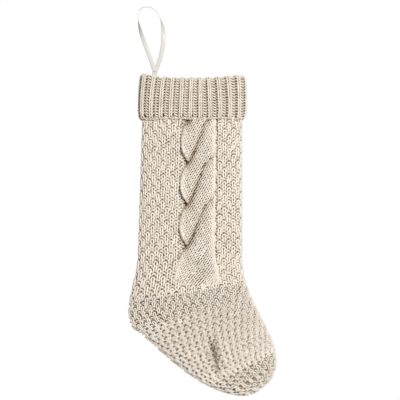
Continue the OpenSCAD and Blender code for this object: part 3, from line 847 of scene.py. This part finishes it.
def cuffLines():
    rows = np.arange(int(cuffLength() / cuff["rowPitch"]))
    wale, row, depth = stitchRows(np.arange(2 * cuff["ribs"]), rows, rib, cuff["shake"])
    around, relief = ribPlace(wale)
    part = np.mod(wale, 2)
    slant = cuff["slant"] * np.where(part < 1, 0.5 - part, part - 1.5)  # one way on ribs, the other between
    v = cuff["start"] + (rows[-1] - row + slant) * cuff["rowPitch"]
    onRoll = np.exp(-((v - stocking["cuffHeight"] + cuff["rollDown"]) / cuff["rollOver"]) ** 2)
    places = cuffPoint(around, v, relief * (1 - cuff["rollFlat"] * onRoll) + depth * loop["depth"])
    return yarnLines(places, depth + cuff["furrowShade"] * (relief / cuff["rib"] - 1), True)


yarnPiece("cuffYarn", cuffLines(), cuff["radius"])


# cast-off chain along the hem, one bight over the next

hem = dict(links=72, points=8, radius=0.0008, start=0.0005, up=0.0009, follow=0.8,
           sink=0.0006, bight=0.0008, shade=0.2)


def hemLines():
    lines = []
    count = hem["links"] * hem["points"]
    around = np.arange(count) / count
    phase = around * 2 * np.pi * hem["links"]
    relief = ribPlace(around * 2 * cuff["ribs"])[1] * hem["follow"]
    for turn in (0, np.pi):
        up = relief - hem["sink"] + hem["bight"] * np.cos(phase + turn)
        v = hem["start"] + hem["up"] * np.sin(phase + turn)
        lines.append((cuffPoint(around, v, up), True, np.full(count, hem["shade"])))
    return lines


yarnPiece("hemYarn", hemLines(), hem["radius"])
print("stocking: cuff knitted")


# linking yarn of the seams, inside the tube

link = dict(radius=0.0013, seat=0.0005, gap=0.0003, sides=8, ringPoints=120, edgePoints=90)
linkIn = -(stocking["knit"] + link["seat"] + link["radius"])


def ringLine(t):
    middle, half, across = rowFrame(t)
    angle = np.interp(np.arange(link["ringPoints"]) / link["ringPoints"], evenShare, evenAngle)
    x, y = ringU(angle) * (half + linkIn), ringU(angle - np.pi / 2) * (halfDepth(t, half) + linkIn)
    return np.column_stack([middle[0, 0] + across[0, 0] * x, y, middle[0, 1] + across[0, 1] * x])


def edgeLine(edge):
    t = np.linspace(joinT + 2 * link["radius"] + link["gap"], capT - 4 * link["radius"], link["edgePoints"])
    middle, half, across = rowFrame(t)
    p = middle + across * (edge * (half + linkIn))[:, None]
    return np.column_stack([p[:, 0], np.zeros(len(t)), p[:, 1]])


seams = dict(cuffJoinYarn=(ringLine(joinT), True), toeSeamYarn=(ringLine(capT), True),
             heelSeamYarn=(edgeLine(-1), False), instepSeamYarn=(edgeLine(1), False))
for name, (line, closed) in seams.items():
    yarnPiece(name, [(line, closed, np.zeros(len(line)))], link["radius"], link["sides"])
print("stocking: seams linked")


# a thin wall behind the loops of yarn: dark brown painted shade that shows through the gaps between loops
# outside, the cream wrong side of the knit inside

wall = dict(outer=-0.0018, inner=-0.0024, edge=0.0005, rows=110, columns=61,
            toeRows=20, toeColumns=96, tip=0.003, cuffRows=44, perRib=10, hem=0.001, insideRelief=0.6)


def turnOutwards(mesh):
    work = bmesh.new()
    work.from_mesh(mesh)
    bmesh.ops.recalc_face_normals(work, faces=work.faces)
    work.to_mesh(mesh)
    work.free()


def wallMesh(name, outer, inner, closed):
    # a closed wall between two grids of points; closed joins the last column to the first
    rows, columns = outer.shape[:2]
    points = np.vstack([outer.reshape(-1, 3), inner.reshape(-1, 3)])
    shift = rows * columns
    faces = []
    steps = columns if closed else columns - 1
    for i in range(rows - 1):
        for j in range(steps):
            n = (j + 1) % columns
            a, b, c, d = i * columns + j, i * columns + n, (i + 1) * columns + n, (i + 1) * columns + j
            faces.append((a, d, c, b))
            faces.append((a + shift, b + shift, c + shift, d + shift))
    for j in range(steps):
        n = (j + 1) % columns
        last = (rows - 1) * columns
        faces.append((j, n, n + shift, j + shift))
        faces.append((last + n, last + j, last + j + shift, last + n + shift))
    if not closed:
        for i in range(rows - 1):
            a, d = i * columns, (i + 1) * columns
            faces.append((a, a + shift, d + shift, d))
            b, c = a + columns - 1, d + columns - 1
            faces.append((b, c, c + shift, b + shift))
    mesh = bpy.data.meshes.new(name)
    mesh.from_pydata(points.tolist(), [], faces)
    mesh.polygons.foreach_set("material_index", [int(min(face) >= shift) for face in faces])
    mesh.validate()
    mesh.shade_smooth()
    turnOutwards(mesh)
    mesh.materials.append(paintedGapShade)
    mesh.materials.append(woolInside)
    return mesh


def panelWall(cloth):
    share = np.linspace(0, 1, wall["columns"])[None, :]
    t = np.linspace(joinT + wall["edge"], capT - wall["edge"], wall["rows"])[:, None] + 0 * share
    share = share + 0 * t
    return [onCloth(cloth, t, share, np.full(t.shape, wall[face])) for face in ("outer", "inner")]


def toeWall():
    columns = wall["toeColumns"]
    t = np.linspace(capT + wall["edge"], tipT - wall["tip"], wall["toeRows"])[:, None] + np.zeros(columns)
    around = (np.arange(columns) / columns)[None, :] + 0 * t
    return [ringPoint(t, around, np.full(t.shape, wall[face])) for face in ("outer", "inner")]


def cuffWall():
    columns = cuff["ribs"] * wall["perRib"]
    v = np.linspace(wall["hem"], cuffLength(), wall["cuffRows"])[:, None] + np.zeros(columns)
    around = (np.arange(columns) / columns)[None, :] + 0 * v
    relief = ribPlace(around * 2 * cuff["ribs"])[1]
    return [cuffPoint(around, v, relief + wall["outer"]),
            cuffPoint(around, v, relief * wall["insideRelief"] + wall["inner"])]


walls = dict(frontShadeWall=(panelWall(frontCloth), False), backShadeWall=(panelWall(backCloth), False),
             toeShadeWall=(toeWall(), True), cuffShadeWall=(cuffWall(), True))
for name, ((outer, inner), closed) in walls.items():
    pieces[name] = addObject(name, wallMesh(name, outer, inner, closed))
print("stocking: ground made")


# ribbon: a loop of satin that leaves the rim face on and turns edge on over the hook

ribbon = dict(width=0.006, thickness=0.0005, loopWidth=0.039, x=0.011, bendUp=0.002, steps=40, spread=0.0005,
              apart=0.0001, above=0.0003, footDown=0.0015, leftRise=0.6, leftPull=0.77,
              rightPull=0.54, rightLow=0.85, turn=90, turnFrom=0.3, turnOver=0.4,
              marks=7, edgeThin=0.5, edgePower=6, tail=0.027, tailSteps=16,
              tailSpread=0.0003, tailUp=0.0006, tailSeat=0.0003)
bendZ = rimZ + ribbon["bendUp"]
loopFoot = bendZ + ribbon["thickness"] + ribbon["apart"] + ribbon["above"]
legY = ribbon["thickness"] / 2 + ribbon["apart"]


def bezier(points, f):
    a, b, c, d = [np.array(p) for p in points]
    f = f[:, None]
    return a * (1 - f) ** 3 + b * 3 * f * (1 - f) ** 2 + c * 3 * f ** 2 * (1 - f) + d * f ** 3


def edgeTurn(f):
    return ribbon["turn"] * ease(np.clip((f - ribbon["turnFrom"]) / ribbon["turnOver"], 0, 1))


def loopLine():
    f = np.linspace(0, 1, ribbon["steps"] + 1)
    top = ribbon["thickness"] / 2
    left = bezier([(ribbon["x"] - ribbon["spread"], loopFoot), (0, ribbon["leftRise"] * loopFoot),
                   (-ribbon["leftPull"] * ribbon["loopWidth"], top), (0, top)], f)
    right = bezier([(0, top), (ribbon["rightPull"] * ribbon["loopWidth"], top),
                    (ribbon["rightLow"] * ribbon["loopWidth"], loopFoot / 2),
                    (ribbon["x"] + ribbon["spread"], loopFoot)], f)
    ends = [np.array([[ribbon["x"] + s * ribbon["spread"], loopFoot - ribbon["footDown"]]]) for s in (-1, 1)]
    flat = np.vstack([ends[0], left, right[1:], ends[1]])
    y = np.concatenate([[-legY], -legY * (1 - f), legY * f[1:], [legY]])
    twist = np.concatenate([[0], edgeTurn(f), edgeTurn(1 - f[1:]), [0]])
    return np.column_stack([flat[:, 0], y, flat[:, 1]]), np.radians(twist)


def stripMesh(name, line, twist):
    ahead = np.gradient(line, axis=0)
    ahead[:, 1] = 0
    ahead /= np.linalg.norm(ahead, axis=1)[:, None]
    side = np.column_stack([-ahead[:, 2], np.zeros(len(line)), ahead[:, 0]])
    across = side * np.cos(twist)[:, None] + np.array([0, 1, 0]) * np.sin(twist)[:, None]
    through = np.cross(ahead, across)
    marks = np.linspace(-1, 1, ribbon["marks"])
    ring = [(m, 1) for m in marks] + [(m, -1) for m in marks[::-1]]
    width, thickness = ribbon["width"], ribbon["thickness"]
    thinned = [1 - ribbon["edgeThin"] * m ** ribbon["edgePower"] for m, s in ring]
    points = np.stack([line + across * m * width / 2 + through * s * thickness / 2 * thin
                       for (m, s), thin in zip(ring, thinned)], axis=1)
    count, size = points.shape[:2]
    faces = [(i * size + k, i * size + (k + 1) % size, (i + 1) * size + (k + 1) % size, (i + 1) * size + k)
             for i in range(count - 1) for k in range(size)]
    faces += [tuple(range(size))[::-1], tuple(range((count - 1) * size, count * size))]
    mesh = bpy.data.meshes.new(name)
    mesh.from_pydata(points.reshape(-1, 3).tolist(), [], faces)
    mesh.validate()
    turnOutwards(mesh)
    mesh.shade_smooth()
    run = runAlong(line)
    layer = mesh.uv_layers.new(name="ribbon")
    index = np.empty(len(mesh.loops), np.int32)
    mesh.loops.foreach_get("vertex_index", index)
    fromMark = np.array([m for m, s in ring]) * width / 2
    uv = np.column_stack([fromMark[index % size], run[index // size]])
    layer.uv.foreach_set("vector", uv.astype(np.float32).ravel())
    mesh.materials.append(satinRibbon)
    return mesh


ribbonLine, ribbonTwist = loopLine()
pieces["ribbonLoop"] = addObject("ribbonLoop", stripMesh("ribbonLoop", ribbonLine, ribbonTwist))
tailEndZ = bendZ - ribbon["tail"]
tailEndX = rowEnds(rimZ - tailEndZ)[0][0, 0] + stocking["knit"] + ribbon["tailSeat"] + ribbon["width"] / 2


def tailLine(side):
    f = np.linspace(0, 1, ribbon["tailSteps"])
    x = mix(ribbon["x"] + side * ribbon["tailSpread"], tailEndX, smooth(f))
    return np.column_stack([x, np.full(len(f), side * legY), mix(bendZ + ribbon["tailUp"], tailEndZ, f)])


def tailPiece(name):
    untwisted = np.zeros(ribbon["tailSteps"])
    tails = [addObject(name, stripMesh(name, tailLine(side), untwisted)) for side in (-1, 1)]
    bpy.ops.object.select_all(action="DESELECT")
    for obj in tails:
        obj.select_set(True)
    bpy.context.view_layer.objects.active = tails[0]
    bpy.ops.object.join()
    tails[0].name = name
    return tails[0]


pieces["ribbonTails"] = tailPiece("ribbonTails")


# tack stitches: bars of thread that hold the ribbon's ends to the cuff

tack = dict(drops=(0.6, 0.8), points=14, past=0.001, near=0.6, bow=0.6, wave=0.0004, radius=0.00045, sides=6)


def tackLines():
    lines = []
    f = np.linspace(0, 1, tack["points"])
    rise = tack["radius"] * (tack["near"] + tack["bow"] * np.sin(np.pi * f))
    for drop in tack["drops"]:
        z = mix(bendZ, tailEndZ, drop)
        wallX = rowEnds(rimZ - z)[0][0, 0] + stocking["knit"]
        endX = mix(ribbon["x"], tailEndX, drop) + ribbon["width"] / 2 + tack["past"]
        for side in (-1, 1):
            y = side * (legY + ribbon["thickness"] / 2 + rise)
            bar = np.column_stack([mix(wallX, endX, f), y, z + tack["wave"] * np.sin(2 * np.pi * f)])
            lines.append((bar, False, np.zeros(len(f))))
    return lines


yarnPiece("tackThread", tackLines(), tack["radius"], tack["sides"])
print("stocking: ribbon made")


# what each piece stands for, and the body it moves with

standsFor = dict(
    frontLegYarn=("front_panel",), frontFootYarn=("front_panel",),
    backLegYarn=("back_panel",), backFootYarn=("back_panel",),
    frontShadeWall=("front_panel",), backShadeWall=("back_panel",),
    cableYarnA=("cable_strand_a",), cableYarnB=("cable_strand_b",),
    toeYarn=("toe_cap",), toeShadeWall=("toe_cap",), toeSeamYarn=("toe_seam",),
    cuffYarn=("cuff_band",), cuffShadeWall=("cuff_band",), hemYarn=("cuff_edge",), cuffJoinYarn=("cuff_join",),
    heelSeamYarn=("heel_seam",), instepSeamYarn=("instep_seam",),
    ribbonLoop=("hanger_loop",), ribbonTails=("ribbon_tails",), tackThread=("tack_stitches",),
)
for name, nodes in standsFor.items():
    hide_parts(*nodes)
    if name != "ribbonLoop":
        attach(pieces[name], "stocking")
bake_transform(pieces["ribbonLoop"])


# studio: white all round, a soft key from the upper right, a lamp behind, a pale floor below the toe

studio = dict(centre=(0.075, 0.0, -0.274), frameWidth=0.568, distance=3.0, sensor=36,
              fill=0.28, key=100.0, keyPlace=(0.9, -2.9, 0.95), keySize=0.7,
              back=90.0, backPlace=(-1.1, 2.9, 0.9), backSize=1.2,
              floorDrop=0.2, floorRadius=0.8, floorSides=64, floorColour=(0.86, 0.86, 0.85), floorRough=0.9)


def addStudio():
    world = bpy.data.worlds.new("whiteStudio")
    scene.world = world
    world.use_nodes = True
    nodes, links = world.node_tree.nodes, world.node_tree.links
    nodes.clear()
    choose = nodes.new("ShaderNodeMixShader")
    links.new(nodes.new("ShaderNodeLightPath").outputs["Is Camera Ray"], choose.inputs["Fac"])
    for k, strength in ((1, studio["fill"]), (2, 1.0)):  # dim as light, white to the camera
        white = addNode(nodes, "ShaderNodeBackground", {"Color": (1, 1, 1, 1), "Strength": strength})
        links.new(white.outputs[0], choose.inputs[k])
    links.new(choose.outputs[0], nodes.new("ShaderNodeOutputWorld").inputs["Surface"])
    for name in ("key", "back"):
        light = bpy.data.lights.new(name, "AREA")
        light.energy = studio[name]
        light.size = studio[name + "Size"]
        lamp = addObject(name, light)
        lamp.location = studio[name + "Place"]
        aim = Vector(studio["centre"]) - Vector(studio[name + "Place"])
        lamp.rotation_euler = aim.to_track_quat("-Z", "Y").to_euler()


def addFloor():
    angles = np.linspace(0, 2 * np.pi, studio["floorSides"], endpoint=False)
    ring = np.column_stack([studio["centre"][0] + studio["floorRadius"] * np.cos(angles),
                            studio["floorRadius"] * np.sin(angles),
                            np.full(len(angles), toeZ - studio["floorDrop"])])
    mesh = bpy.data.meshes.new("floor")
    mesh.from_pydata(ring.tolist(), [], [tuple(range(len(ring)))])
    material, nodes, links, shader = newMaterial("paleFloor")
    setInputs(shader, {"Base Color": (*studio["floorColour"], 1), "Roughness": studio["floorRough"]})
    mesh.materials.append(material)
    addObject("floor", mesh)


def addCamera():
    data = bpy.data.cameras.new("camera")
    data.sensor_width = studio["sensor"]
    data.lens = studio["sensor"] * studio["distance"] / studio["frameWidth"]
    camera = addObject("camera", data)
    camera.location = (studio["centre"][0], -studio["distance"], studio["centre"][2])
    camera.rotation_euler = (math.pi / 2, 0, 0)
    scene.camera = camera


addStudio()
addFloor()
addCamera()
scene.view_settings.view_transform = "Standard"
print("stocking: studio set")
